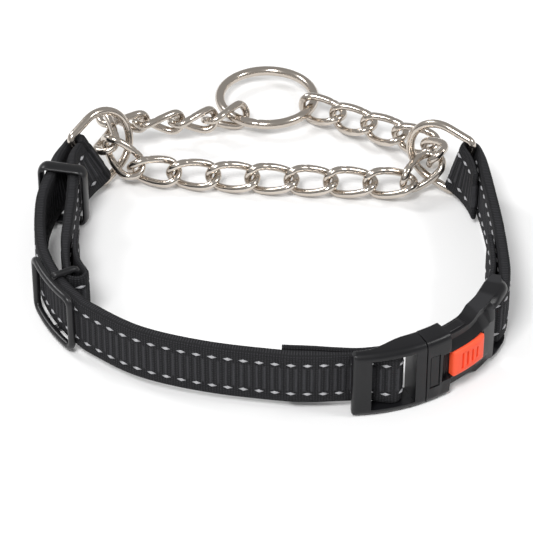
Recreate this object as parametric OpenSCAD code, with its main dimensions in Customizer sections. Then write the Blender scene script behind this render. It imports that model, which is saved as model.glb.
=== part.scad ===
// Martingale collar: a webbing loop with a side-release buckle, two D-rings and a
// chain loop that runs through them to a lead ring. Millimetres, +Z up, lying on its
// edge with the buckle towards -Y. The origin is the middle of the footprint, on the
// surface that the collar stands on.

/* [Webbing] */
// Width of the webbing
webbing_w = 20; // [19:0.5:20]
// Thickness of the doubled webbing
double_ply = 4.2; // [3.6:0.1:4.2]
// Thickness of a single folded end
single_ply = 2.2; // [1.8:0.1:2.2]

/* [Hardware] */
// Wire of the two D-rings
dring_wire = 3; // [2.6:0.1:3]
// Height inside a D-ring
dring_inside = 20.6; // [20.6:0.1:21.4]
// Wire of the round lead ring
lead_wire = 3.6; // [3:0.1:3.6]
// Outside diameter of the lead ring
lead_d = 39; // [38.6:0.1:39.4]
// Wire of the slider
slider_wire = 2.6; // [2.2:0.1:2.6]
// Wall of the keeper loop
keeper_wall = 1.8; // [1.4:0.1:2]

/* [Chain] */
// Wire of the chain links
link_wire = 2.8; // [2.4:0.1:2.8]
// Length inside a link
link_inside = 14.7; // [14.5:0.1:14.9]
// Width over a link
link_w = 11.6; // [11.4:0.1:11.8]
// Turn of each end of a link about its length
link_twist = 45; // [42:1:48]

/* [Buckle] */
// Height of the buckle
buckle_h = 25.8; // [25:0.1:25.8]
// Outer radius of the buckle's curve
buckle_r = 59.5; // [59:0.1:59.5]
// Depth of the four grip grooves in the lock
grip_depth = 0.6; // [0.3:0.1:0.9]

/* [Hidden] */
$fn = 64;
origin = [1, 29.7, 0.3];
gap = 0.3;
mid_z = 13.2;

// Buckle: everything is an arc about one centre, and an angle of 0 points to -Y
buckle_c = [25, -9];
buckle_z0 = mid_z - buckle_h / 2;
buckle_z1 = mid_z + buckle_h / 2;
rail_t = mid_z - webbing_w / 2 - buckle_z0 - gap;
seam_a = 27.4;
plug_bar_a = 17;
plug_bar_r = 54.5;
end_bar_a = 67.5;
end_bar_r = 55;
bar_r = 1.5;
spine_z = [6.4, 20];
track_z = [7.6, 18.8];
track_r = 57.6;
lock_a = [37.3, 51.6];
lock_top_r = buckle_r + 1.1;

// Slider and outer strap: the left side of the strap follows this arc
side_c = [-10.7, 10];
side_r = 67.4;
slider_a = 209;
slider_half_a = 12;
slider_out_r = side_r + double_ply / 2 + gap + slider_wire / 2 + 0.1;
slider_in_r = side_r - 6.6;

// D-rings: centre of the straight bar, heading, pitch, roll and depth
dring_h = dring_inside + dring_wire;
left_d = [[-65, 58, 12.4], 49, 21, -19, 21.6];
right_d = [[70.6, 53.5, 13.2], 148.5, 15, 5, 22];

// Keeper: middle, heading of its travel, inside width
keeper_c = [-71.9, 38, mid_z];
keeper_heading = 12;
keeper_in_w = 14;
keeper_depth = 6;

// Chain: where neighbouring links cross
lead_c = [0.2, 108.3, 5.9];
front_ends = [[-47.6, 60.6, 7.6], [51.6, 52.6, 6.9]];
front_mid_z = 5.9;
front_rolls = [71, 45, 44];
link_pitch = 14.2;
corner_left = [
    [[-47.8, 60.1, 7.9], [-56.8, 65.8, 15.1], 115],
    [[-58.2, 65.9, 13.4], [-57.6, 78.8, 15.9], 118]
];
corner_right = [
    [[51.1, 53.4, 7.1], [60.6, 60.6, 11], 50],
    [[61.8, 60.5, 14], [59.5, 73, 6.2], 99]
];
run_left = [[-59.2, 81.1, 15.3], [-9.2, 97.2, 5.9], 137, 111];
run_right = [[60.1, 72.6, 9.5], [15, 102.7, 5.9], 123, 137];
run_pitch = 13.3;

plastic = "#18181a";
webbing = "#202024";
steel = "#b9b6ae";
lock_red = "#d8452a";

// ---------- vectors, arcs and swept shapes ----------

function unit(v) = v / norm(v);
function flat(v) = [v[0], v[1]];
function polar(c, r, a) = [c[0] + r * cos(a), c[1] + r * sin(a)];
function buckle_at(r, a) = polar(buckle_c, r, a - 90);

// D-ring axes: x from the bar towards the bow, z along the bar
function turn_x(v, a) = [v[0], v[1] * cos(a) - v[2] * sin(a), v[1] * sin(a) + v[2] * cos(a)];
function turn_y(v, a) = [v[0] * cos(a) + v[2] * sin(a), v[1], v[2] * cos(a) - v[0] * sin(a)];
function turn_z(v, a) = [v[0] * cos(a) - v[1] * sin(a), v[0] * sin(a) + v[1] * cos(a), v[2]];
function d_axis(d, v) = turn_z(turn_y(turn_x(v, d[3]), -d[2]), d[1]);

// A strap station is [x, y, z, thickness, share of the bar's lean]
function station(p, t, lean = 0, z = mid_z) = [p[0], p[1], z, t, lean];

// Stations round an upright bar
function bar_loop(c, r, a0, a1, t) =
    [for (i = [0 : 6]) station(polar(c, r, a0 + (a1 - a0) * i / 6), t)];

// Stations round the leaning bar of a D-ring, from side a0 to side a1 of the bar
function dring_loop(d, r, a0, a1, t) =
    [for (i = [0 : 6])
        let (a = a0 + (a1 - a0) * i / 6, p = d[0] + r * d_axis(d, [cos(a), sin(a), 0]))
        [p[0], p[1], p[2], t, 1]];

// Catmull-Rom curve through the stations
function curve_at(a, b, c, d, t) =
    0.5 * (2 * b + (c - a) * t + (2 * a - 5 * b + 4 * c - d) * t * t
        + (3 * b - a - 3 * c + d) * t * t * t);
function smooth(s, steps = 3) =
    let (n = len(s))
    [for (i = [0 : n - 2], k = [0 : steps - 1])
        curve_at(s[max(i - 1, 0)], s[i], s[i + 1], s[min(i + 2, n - 1)], k / steps), s[n - 1]];

function xyz(s) = [s[0], s[1], s[2]];
function corners(s, along, lean) =
    let (up = unit((1 - s[4]) * [0, 0, 1] + s[4] * lean),
         out = unit(cross(along, up)),
         h = up * webbing_w / 2,
         w = out * s[3] / 2)
    [xyz(s) - h - w, xyz(s) - h + w, xyz(s) + h + w, xyz(s) + h - w];

// A strap as a rectangle swept along its stations
module ribbon(route, lean = [0, 0, 1]) {
    s = smooth(route);
    n = len(s);
    points = [for (i = [0 : n - 1])
        each corners(s[i], xyz(s[min(i + 1, n - 1)]) - xyz(s[max(i - 1, 0)]), lean)];
    sides = [for (i = [0 : n - 2], k = [0 : 3])
        let (a = 4 * i + k, b = 4 * i + (k + 1) % 4)
        each [[a, b, b + 4], [a, b + 4, a + 4]]];
    last = 4 * (n - 1);
    polyhedron(points, concat([[3, 2, 1, 0]], sides, [[last, last + 1, last + 2, last + 3]]),
        convexity = 6);
}

// Chords of equal length on an arc between two points, the arc bowing towards -Y
function bow_turn(ratio, n, lo, hi, k) =
    let (m = (lo + hi) / 2)
    k == 0 ? m
        : sin(n * m / 2) / sin(m / 2) > ratio ? bow_turn(ratio, n, m, hi, k - 1)
        : bow_turn(ratio, n, lo, m, k - 1);
function walk(p, heading, turn, pitch, n) =
    n == 0 ? [p]
        : concat([p], walk(p + pitch * [cos(heading), sin(heading)], heading + turn, turn, pitch, n - 1));
function run_points(a, b, n, pitch) =
    let (span = norm(flat(b) - flat(a)),
         side = b[0] > a[0] ? 1 : -1,
         ratio = span / pitch,
         turn = ratio < n ? bow_turn(ratio, n, 0.001, 360 / n, 30) : 0,
         heading = atan2(b[1] - a[1], b[0] - a[0]) - side * turn * (n - 1) / 2,
         plan = walk(flat(a), heading, side * turn, ratio < n ? pitch : span / n, n))
    [for (i = [0 : n]) [plan[i][0], plan[i][1], a[2] + (b[2] - a[2]) * i / n]];

front_plan = run_points(front_ends[0], front_ends[1], 7, link_pitch);
front_points = [for (i = [0 : 7])
    let (u = 2 * i / 7 - 1, end_z = front_ends[u < 0 ? 0 : 1][2])
    [front_plan[i][0], front_plan[i][1], front_mid_z + (end_z - front_mid_z) * pow(abs(u), 3)]];
left_points = run_points(run_left[0], run_left[1], 4, run_pitch);
right_points = run_points(run_right[0], run_right[1], 4, run_pitch);

// ---------- chain ----------

link_a = (link_inside + link_wire) / 2;
link_b = (link_w - link_wire) / 2;
link_rings = 28;
link_sides = 8;

// Point and outward normal on a flat link's centreline, at a share of its length
function flat_link(u) =
    let (straight = link_a - link_b, quarter = PI * link_b / 2,
         total = 4 * straight + 4 * quarter, s = u * total)
    s < quarter ? round_end(straight, s / link_b * 180 / PI)
        : s < quarter + 2 * straight ? [[straight - (s - quarter), link_b], [0, 1]]
        : s < 3 * quarter + 2 * straight
            ? round_end(-straight, 90 + (s - quarter - 2 * straight) / link_b * 180 / PI)
        : s < 3 * quarter + 4 * straight
            ? [[s - 3 * quarter - 3 * straight, -link_b], [0, -1]]
        : round_end(straight, 270 + (s - 3 * quarter - 4 * straight) / link_b * 180 / PI);
function round_end(x, a) = [[x + link_b * cos(a), link_b * sin(a)], [cos(a), sin(a)]];

// The flat link turned about its length, one way at each end
function twisted(v, x) =
    let (a = -link_twist * max(-1, min(1, x / (link_a - 0.3 * link_b))))
    [v[0], v[1] * cos(a), v[1] * sin(a)];
function link_point(u) = let (f = flat_link(u)) twisted(f[0], f[0][0]);
function link_ring(u) =
    let (f = flat_link(u),
         along = unit(link_point(u + 0.002) - link_point(u < 0.002 ? 0.998 : u - 0.002)),
         side = unit(cross(along, twisted(f[1], f[0][0]))),
         out = cross(side, along))
    [for (k = [0 : link_sides - 1])
        let (a = 360 * k / link_sides)
        link_point(u) + link_wire / 2 * (cos(a) * out + sin(a) * side)];

module link() {
    points = [for (i = [0 : link_rings - 1]) each link_ring(i / link_rings)];
    n = link_sides;
    faces = [for (i = [0 : link_rings - 1], k = [0 : n - 1])
        let (j = (i + 1) % link_rings, m = (k + 1) % n)
        [n * i + k, n * j + k, n * j + m, n * i + m]];
    color(steel) polyhedron(points, faces, convexity = 8);
}

// A link stretched from one crossing to the next and rolled about its length
module link_between(a, b, roll) {
    v = b - a;
    translate((a + b) / 2)
        rotate([0, 0, atan2(v[1], v[0])])
        rotate([0, -atan2(v[2], norm(flat(v))), 0])
        rotate([roll, 0, 0])
        link();
}

module front_link(i) {
    far = abs(i - 4) / 3;
    roll = front_rolls[1] + (front_rolls[i < 4 ? 0 : 2] - front_rolls[1]) * far;
    link_between(front_points[i - 1], front_points[i], roll);
}

module corner_link(c) {
    link_between(c[0], c[1], c[2]);
}

module ring_link(points, run, i) {
    link_between(points[i - 1], points[i], run[2] + (run[3] - run[2]) * (i - 1) / 3);
}

// ---------- rings ----------

module lead_ring() {
    color(steel) translate(lead_c) rotate_extrude()
        translate([(lead_d - lead_wire) / 2, 0]) circle(d = lead_wire);
}

module dring(d) {
    r = dring_wire / 2;
    arm = d[4] - dring_h / 2;
    color(steel) translate(d[0]) rotate([0, 0, d[1]]) rotate([0, -d[2], 0]) rotate([d[3], 0, 0]) {
        cylinder(h = dring_h, r = r, center = true);
        for (side = [-1, 1]) translate([0, 0, side * dring_h / 2]) {
            sphere(r);
            rotate([0, 90, 0]) cylinder(h = arm, r = r);
        }
        translate([arm, 0, 0]) rotate([90, 0, 0]) rotate([0, 0, -90])
            rotate_extrude(angle = 180) translate([dring_h / 2, 0]) circle(r);
    }
}

// ---------- webbing ----------

loop_t = 3.4;
bar_play = 0.4;
d_loop_r = dring_wire / 2 + bar_play + loop_t / 2;
right_loop_r = dring_wire / 2 + bar_play + single_ply / 2;
slider_loop_r = slider_wire / 2 + 0.7 + single_ply / 2;
fold_r = bar_r + 0.2 + single_ply / 2;
plug_bar = buckle_at(plug_bar_r, plug_bar_a);
end_bar = buckle_at(end_bar_r, end_bar_a);
slider_bar = polar(side_c, slider_in_r, slider_a);

front_route = concat(
    [for (p = [[5, -58.5], [15, -59.1], [22, -59.8], [30.4, -60.2]]) station(p, single_ply)],
    bar_loop(plug_bar, fold_r, 125, -105, single_ply),
    [station([36.6, -63.3], single_ply), station([33.5, -62.1], single_ply),
     station([30, -62.5], single_ply), station([22, -62.7], 3),
     station([15, -62.6], double_ply), station([5, -62], double_ply),
     station([-20, -57.4], double_ply), station([-42, -49.6], double_ply)],
    [for (a = [225 : -7 : 190]) station(polar(side_c, side_r, a), double_ply)],
    [station([-78.3, 12], double_ply), station([-78.2, 25], double_ply),
     station([-75.6, 38], double_ply, 0.1), station([-71.8, 49.5], 3.8, 0.6, 12.4)],
    dring_loop(left_d, d_loop_r, 108, -68, loop_t)
);

return_route = concat(
    [dring_loop(left_d, d_loop_r, -68, 108, loop_t)[0] + [-0.35, -0.75, 0, 0, 0],
     station([-66, 50], 3.8, 0.6), station([-67.7, 44], double_ply, 0.3),
     station([-68.2, 37], double_ply), station([-68, 25], double_ply),
     station([-68.3, 12], double_ply), station([-68.6, 0], 4),
     station([-68.2, -9], 3)],
    bar_loop(slider_bar, slider_loop_r, 209, 389, single_ply),
    [station([-63.9, -12], single_ply), station([-65.2, -5], single_ply),
     station([-65.3, 2], single_ply)]
);

right_route = concat(
    [station([76.6, 1], single_ply), station([76.9, -8], single_ply),
     station([76.6, -16], single_ply), station([74.9, -24.5], single_ply)],
    bar_loop(end_bar, fold_r, 157.5, 337.5, single_ply),
    [station([79.9, -26.5], 3), station([80.4, -18], double_ply),
     station([80.4, -8], double_ply), station([79.7, 9], double_ply),
     station([78.2, 27], double_ply), station([76.9, 38], double_ply, 0.1),
     station([75.4, 47], 3.2, 0.5)],
    dring_loop(right_d, right_loop_r, -130, 50, single_ply),
    [station([70.9, 47.5], single_ply, 0.5), station([72.8, 41], single_ply, 0.2),
     station([73.6, 36], single_ply)]
);

module strap_front() {
    color(webbing) ribbon(front_route, d_axis(left_d, [0, 0, 1]));
}

module strap_return() {
    color(webbing) ribbon(return_route, d_axis(left_d, [0, 0, 1]));
}

module strap_right() {
    color(webbing) ribbon(right_route, d_axis(right_d, [0, 0, 1]));
}

// ---------- buckle ----------

// A block on the buckle's curve
module arc_block(a, r, z, round_r = 0) {
    translate([buckle_c[0], buckle_c[1], z[0]]) rotate([0, 0, a[0] - 90])
        rotate_extrude(angle = a[1] - a[0]) translate([r[0], 0])
        round_rect(r[1] - r[0], z[1] - z[0], round_r);
}

module round_rect(w, h, r) {
    if (r == 0) square([w, h]);
    else {
        translate([r, 0]) square([w - 2 * r, h]);
        translate([0, r]) square([w, h - 2 * r]);
        for (x = [r, w - r], y = [r, h - r]) translate([x, y]) circle(r);
    }
}

// An upright bar on the buckle's curve
module buckle_bar(r, a) {
    p = buckle_at(r, a);
    translate([p[0], p[1], buckle_z0 + rail_t / 2]) cylinder(h = buckle_h - rail_t, r = bar_r);
}

module both_rails(a, r) {
    arc_block(a, r, [buckle_z0, buckle_z0 + rail_t], 0.8);
    arc_block(a, r, [buckle_z1 - rail_t, buckle_z1], 0.8);
}

module buckle_plug() {
    color(plastic) {
        arc_block([2.7, 9], [55.3, buckle_r], [buckle_z0, buckle_z1], 2);
        both_rails([8, 25], [52.4, buckle_r]);
        arc_block([24.5, seam_a], [51, buckle_r], [buckle_z0, buckle_z1], 1.4);
        buckle_bar(plug_bar_r, plug_bar_a);
        arc_block([seam_a - 1, 44], [53.9, 56.1], [mid_z - 2.6, mid_z + 2.6]);
    }
}

// Upper arm: a beam inside the collar and a pad in the side window
module plug_arm_upper() {
    color(plastic) {
        arc_block([seam_a + 0.4, 46.5], [52.8, 56.5], [21.5, 23.6], 0.6);
        arc_block([37.4, 47], [52.8, 56.5], [21.5, 24.5], 1);
    }
}

module plug_arm_lower() {
    translate([0, 0, 2 * mid_z]) mirror([0, 0, 1]) plug_arm_upper();
}

// Side window that frees the upper arm
module side_window() {
    rotate([0, 0, 44 - 90]) translate([45, -7, spine_z[1]]) {
        translate([0, 0, 3]) cube([20, 15.5, 10]);
        cube([20, 12.5, 10]);
        translate([0, 12.5, 3]) rotate([0, 90, 0]) cylinder(h = 20, r = 3);
    }
}

module buckle_socket() {
    color(plastic) difference() {
        union() {
            arc_block([seam_a + 0.4, 59], [51, buckle_r], [buckle_z0, buckle_z1], 1.4);
            both_rails([58, 73], [51, buckle_r]);
            buckle_bar(end_bar_r, end_bar_a);
        }
        arc_block([seam_a, 36.9], [52.4, 56.9], [1.4, 25]);
        arc_block([36, 49.5], [53.4, 56.6], [mid_z - 3.2, mid_z + 3.2]);
        arc_block([33.2, lock_a[1] + 0.3], [track_r, 62], track_z);
        arc_block([28.8, 32.6], [buckle_r - 0.5, 62], [6.6, 19.8]);
        translate([buckle_c[0], buckle_c[1], 0]) side_window();
        translate([buckle_c[0], buckle_c[1], 2 * mid_z]) mirror([0, 0, 1]) side_window();
    }
}

module lock_button() {
    groove_a = 2.1;
    color(lock_red) difference() {
        arc_block(lock_a, [track_r + 0.2, lock_top_r], [track_z[0] + 0.3, track_z[1] - 0.3], 0.9);
        for (i = [0 : 3])
            arc_block([lock_a[0] + 3 + groove_a * i, lock_a[0] + 3.9 + groove_a * i],
                [lock_top_r - grip_depth, 62], [9.9, 16.5]);
    }
}

// ---------- slider and keeper ----------

// A block on the left strap's curve
module side_block(a, r, z) {
    translate([side_c[0], side_c[1], mid_z + z[0]]) rotate([0, 0, a[0]])
        rotate_extrude(angle = a[1] - a[0]) translate([r[0], 0])
        round_rect(r[1] - r[0], z[1] - z[0], 0.6);
}

module slider() {
    t = slider_wire;
    top = webbing_w / 2 + gap;
    bar_a = 1.1;
    edge_a = slider_half_a - bar_a;
    out_r = [slider_out_r - t / 2, slider_out_r + t / 2];
    in_r = [slider_in_r - t / 2, slider_in_r + t / 2];
    color(plastic) {
        for (a = [slider_a - edge_a, slider_a + edge_a])
            side_block([a - bar_a, a + bar_a], out_r, [-top - t, top + t]);
        side_block([slider_a - bar_a, slider_a + bar_a], in_r, [-top - t, top + t]);
        for (z = [-top - t, top]) {
            side_block([slider_a - edge_a, slider_a + edge_a], out_r, [z + 0.1, z + t - 0.1]);
            side_block([slider_a - bar_a, slider_a + bar_a], [in_r[0] + 1, out_r[1] - 1],
                [z + 0.1, z + t - 0.1]);
        }
    }
}

module keeper() {
    w = keeper_in_w + 2 * keeper_wall;
    h = webbing_w + 2 * gap + 2 * keeper_wall;
    color(plastic) translate(keeper_c) rotate([0, 0, -keeper_heading]) rotate([90, 0, 0])
        translate([0, 0, -keeper_depth / 2]) linear_extrude(keeper_depth) difference() {
            translate([-w / 2, -h / 2]) round_rect(w, h, 2.2);
            translate([-keeper_in_w / 2, -h / 2 + keeper_wall])
                round_rect(keeper_in_w, h - 2 * keeper_wall, 0.6);
        }
}

translate(-origin) {
    strap_front();
    strap_return();
    strap_right();
    buckle_plug();
    plug_arm_upper();
    plug_arm_lower();
    buckle_socket();
    lock_button();
    slider();
    keeper();
    dring(left_d);  // dring_left
    dring(right_d);  // dring_right
    lead_ring();
    for (i = [1 : 7])
        front_link(i);
    for (i = [1, 2]) {
        corner_link(corner_left[i - 1]);
        corner_link(corner_right[i - 1]);
    }
    for (i = [1 : 4]) {
        ring_link(left_points, run_left, i);
        ring_link(right_points, run_right, i);
    }
}
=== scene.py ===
import bpy
import bmesh
from math import sin, cos, pi, radians, atan2
from mathutils import Vector, Matrix


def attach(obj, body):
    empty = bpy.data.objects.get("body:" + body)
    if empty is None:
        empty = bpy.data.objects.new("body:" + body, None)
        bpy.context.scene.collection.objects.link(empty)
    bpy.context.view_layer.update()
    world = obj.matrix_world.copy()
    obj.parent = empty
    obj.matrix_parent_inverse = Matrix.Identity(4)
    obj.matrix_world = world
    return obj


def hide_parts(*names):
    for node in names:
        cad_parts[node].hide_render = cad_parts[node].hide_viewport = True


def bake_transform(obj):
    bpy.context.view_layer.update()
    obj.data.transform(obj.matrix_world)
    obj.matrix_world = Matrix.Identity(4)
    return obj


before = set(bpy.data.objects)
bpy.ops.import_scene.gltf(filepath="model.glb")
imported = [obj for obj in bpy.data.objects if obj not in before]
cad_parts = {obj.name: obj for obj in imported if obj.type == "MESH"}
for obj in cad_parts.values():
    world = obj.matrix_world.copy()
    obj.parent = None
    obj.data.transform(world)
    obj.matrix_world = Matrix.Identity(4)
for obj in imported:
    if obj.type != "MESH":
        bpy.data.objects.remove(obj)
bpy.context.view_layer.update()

mm = 0.001
origin = Vector((1, 29.7, 0.3))  # where the frame's origin lies in the collar's drawing, in mm
midZ = 13.2
toFrame = Matrix.Scale(mm, 4) @ Matrix.Translation(-origin)


def polar(centre, r, angle, z=midZ):
    a = radians(angle)
    return Vector((centre[0] + r * cos(a), centre[1] + r * sin(a), z))


def blendValue(a, b, t):
    t = max(0.0, min(1.0, t))
    return a + (b - a) * t * t * (3 - 2 * t)


def grainGroup():
    # fine moulded or drawn grain: a height for bump and a value that shifts the roughness
    group = bpy.data.node_groups.new("fineGrain", "ShaderNodeTree")
    group.interface.new_socket("Scale", in_out="INPUT", socket_type="NodeSocketFloat")
    group.interface.new_socket("Rough", in_out="INPUT", socket_type="NodeSocketFloat")
    group.interface.new_socket("Spread", in_out="INPUT", socket_type="NodeSocketFloat")
    group.interface.new_socket("Height", in_out="OUTPUT", socket_type="NodeSocketFloat")
    group.interface.new_socket("Roughness", in_out="OUTPUT", socket_type="NodeSocketFloat")
    nodes, links = group.nodes, group.links
    ins = nodes.new("NodeGroupInput")
    outs = nodes.new("NodeGroupOutput")
    where = nodes.new("ShaderNodeTexCoord")
    grain = nodes.new("ShaderNodeTexNoise")
    grain.inputs["Detail"].default_value = 5
    links.new(where.outputs["Object"], grain.inputs["Vector"])
    links.new(ins.outputs["Scale"], grain.inputs["Scale"])
    patch = nodes.new("ShaderNodeTexNoise")
    patch.inputs["Scale"].default_value = 90
    links.new(where.outputs["Object"], patch.inputs["Vector"])
    shift = nodes.new("ShaderNodeMath")
    shift.operation = "SUBTRACT"
    shift.inputs[1].default_value = 0.5
    links.new(patch.outputs["Fac"], shift.inputs[0])
    add = nodes.new("ShaderNodeMath")
    add.operation = "MULTIPLY_ADD"
    links.new(shift.outputs[0], add.inputs[0])
    links.new(ins.outputs["Spread"], add.inputs[1])
    links.new(ins.outputs["Rough"], add.inputs[2])
    links.new(grain.outputs["Fac"], outs.inputs["Height"])
    links.new(add.outputs[0], outs.inputs["Roughness"])
    return group


def edgeHighlightGroup():
    # painted highlight on the edges: Pointiness picks out the outer corners and lightens them
    group = bpy.data.node_groups.new("paintedEdgeHighlight", "ShaderNodeTree")
    group.interface.new_socket("Body", in_out="INPUT", socket_type="NodeSocketColor")
    group.interface.new_socket("PaintedHighlight", in_out="INPUT", socket_type="NodeSocketColor")
    group.interface.new_socket("Color", in_out="OUTPUT", socket_type="NodeSocketColor")
    nodes, links = group.nodes, group.links
    ins = nodes.new("NodeGroupInput")
    outs = nodes.new("NodeGroupOutput")
    shape = nodes.new("ShaderNodeNewGeometry")
    ramp = nodes.new("ShaderNodeMapRange")
    ramp.inputs["From Min"].default_value = 0.51
    ramp.inputs["From Max"].default_value = 0.62
    mix = nodes.new("ShaderNodeMix")
    mix.data_type = "RGBA"
    links.new(shape.outputs["Pointiness"], ramp.inputs["Value"])
    links.new(ramp.outputs["Result"], mix.inputs["Factor"])
    links.new(ins.outputs["Body"], mix.inputs["A"])
    links.new(ins.outputs["PaintedHighlight"], mix.inputs["B"])
    links.new(mix.outputs["Result"], outs.inputs["Color"])
    return group


fineGrain = grainGroup()
paintedEdgeHighlight = edgeHighlightGroup()


def startMaterial(name):
    material = bpy.data.materials.new(name)
    material.use_nodes = True
    nodes, links = material.node_tree.nodes, material.node_tree.links
    return material, nodes, links, nodes["Principled BSDF"]


def solidMaterial(name, look):
    # one body colour with grain, a painted highlight on the outer edges and uneven gloss
    material, nodes, links, shader = startMaterial(name)
    fine = nodes.new("ShaderNodeGroup")
    fine.node_tree = fineGrain
    fine.inputs["Scale"].default_value = look["grainScale"]
    fine.inputs["Rough"].default_value = look["rough"]
    fine.inputs["Spread"].default_value = look["spread"]
    edgeHighlight = nodes.new("ShaderNodeGroup")
    edgeHighlight.node_tree = paintedEdgeHighlight
    edgeHighlight.inputs["Body"].default_value = (*look["colour"], 1)
    edgeHighlight.inputs["PaintedHighlight"].default_value = (*look["edgeHighlightColour"], 1)
    bump = nodes.new("ShaderNodeBump")
    bump.inputs["Strength"].default_value = look["bump"]
    bump.inputs["Distance"].default_value = 0.0001
    links.new(edgeHighlight.outputs["Color"], shader.inputs["Base Color"])
    links.new(fine.outputs["Roughness"], shader.inputs["Roughness"])
    links.new(fine.outputs["Height"], bump.inputs["Height"])
    links.new(bump.outputs["Normal"], shader.inputs["Normal"])
    shader.inputs["Metallic"].default_value = look["metal"]
    shader.inputs["Specular IOR Level"].default_value = look["gloss"]
    return material


# the second colour of each look is a painted highlight that the outer edges take
nickel = solidMaterial("nickelPlate", {
    "colour": (0.56, 0.50, 0.44), "edgeHighlightColour": (0.70, 0.65, 0.59), "grainScale": 900,
    "rough": 0.17, "spread": 0.14, "bump": 0.1, "metal": 1.0, "gloss": 0.5})
buckleBlack = solidMaterial("buckleBlack", {
    "colour": (0.006, 0.006, 0.007), "edgeHighlightColour": (0.022, 0.022, 0.024), "grainScale": 2600,
    "rough": 0.31, "spread": 0.16, "bump": 0.18, "metal": 0.0, "gloss": 0.3})
wireBlack = solidMaterial("wireBlack", {
    "colour": (0.006, 0.006, 0.007), "edgeHighlightColour": (0.028, 0.028, 0.03), "grainScale": 1800,
    "rough": 0.32, "spread": 0.14, "bump": 0.15, "metal": 0.0, "gloss": 0.36})
lockRed = solidMaterial("lockRed", {
    "colour": (0.90, 0.075, 0.022), "edgeHighlightColour": (0.93, 0.16, 0.08), "grainScale": 2200,
    "rough": 0.45, "spread": 0.1, "bump": 0.2, "metal": 0.0, "gloss": 0.3})


weave = {
    "warp": 4.2, "weft": 3.4,               # yarn waves, scaled for a UV in cm
    "rib": 1.232, "ribZone": (0.5, 0.44),   # rib wave, and where it fades out across the strap
    # the valley colour is painted shade in the weave's gaps, the crest colour a painted highlight
    # on the rib crests
    "valleyShade": (0.0025, 0.0025, 0.003), "yarn": (0.06, 0.06, 0.066), "crestHighlight": (0.06, 0.06, 0.066),
    "fuzz": 55, "bump": 0.75,
}


def webbingMaterial():
    # woven nylon: yarns both ways, and bold cross ribs between the stitch rows; its colour holds
    # painted shade in the weave's gaps and a painted highlight on the rib crests
    material, nodes, links, shader = startMaterial("webbingBlack")
    uv = nodes.new("ShaderNodeUVMap")
    uv.uv_map = "weave"

    def yarns(direction, scale, distortion, phase=0.0):
        wave = nodes.new("ShaderNodeTexWave")
        wave.bands_direction = direction
        wave.inputs["Scale"].default_value = scale
        wave.inputs["Distortion"].default_value = distortion
        wave.inputs["Detail"].default_value = 1
        wave.inputs["Phase Offset"].default_value = phase
        links.new(uv.outputs["UV"], wave.inputs["Vector"])
        return wave.outputs["Fac"]

    def maths(operation, *values):
        node = nodes.new("ShaderNodeMath")
        node.operation = operation
        for socket, value in zip(node.inputs, values):
            if isinstance(value, (int, float)):
                socket.default_value = value
            else:
                links.new(value, socket)
        return node.outputs[0]

    def tinted(factor, dark, light):
        mix = nodes.new("ShaderNodeMix")
        mix.data_type = "RGBA"
        links.new(factor, mix.inputs["Factor"])
        for socket, colour in ((mix.inputs["A"], dark), (mix.inputs["B"], light)):
            if isinstance(colour, tuple):
                socket.default_value = (*colour, 1)
            else:
                links.new(colour, socket)
        return mix.outputs["Result"]

    fine = maths("MULTIPLY", yarns("Y", weave["warp"], 0.6), yarns("X", weave["weft"], 0.6))
    fuzz = nodes.new("ShaderNodeTexNoise")
    fuzz.inputs["Scale"].default_value = weave["fuzz"]
    fuzz.inputs["Detail"].default_value = 6
    links.new(uv.outputs["UV"], fuzz.inputs["Vector"])
    across = nodes.new("ShaderNodeSeparateXYZ")
    links.new(uv.outputs["UV"], across.inputs[0])
    zone = nodes.new("ShaderNodeMapRange")
    zone.inputs["From Min"].default_value = weave["ribZone"][0]
    zone.inputs["From Max"].default_value = weave["ribZone"][1]
    links.new(maths("ABSOLUTE", across.outputs["Y"]), zone.inputs["Value"])
    rib = maths("POWER", yarns("X", weave["rib"], 0.25, pi), 4)
    rib = maths("MULTIPLY", rib, zone.outputs["Result"])
    rib = maths("MULTIPLY", rib, maths("MULTIPLY_ADD", fuzz.outputs["Fac"], 1.1, 0.1))
    # ground colour: random fuzz tone, with painted shade where the weave dips
    lit = maths("MULTIPLY_ADD", fuzz.outputs["Fac"], 1.0, maths("MULTIPLY", fine, 0.35))
    lit = maths("POWER", lit, 3)
    ground = tinted(lit, weave["valleyShade"], weave["yarn"])
    height = maths("MULTIPLY_ADD", fuzz.outputs["Fac"], 0.6, maths("ADD", fine, rib))
    bump = nodes.new("ShaderNodeBump")
    bump.inputs["Strength"].default_value = weave["bump"]
    bump.inputs["Distance"].default_value = 0.0003
    links.new(height, bump.inputs["Height"])
    # the rib crests take the painted highlight colour
    links.new(tinted(rib, ground, weave["crestHighlight"]), shader.inputs["Base Color"])
    links.new(bump.outputs["Normal"], shader.inputs["Normal"])
    shader.inputs["Roughness"].default_value = 0.78
    shader.inputs["Specular IOR Level"].default_value = 0.2
    return material


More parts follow.
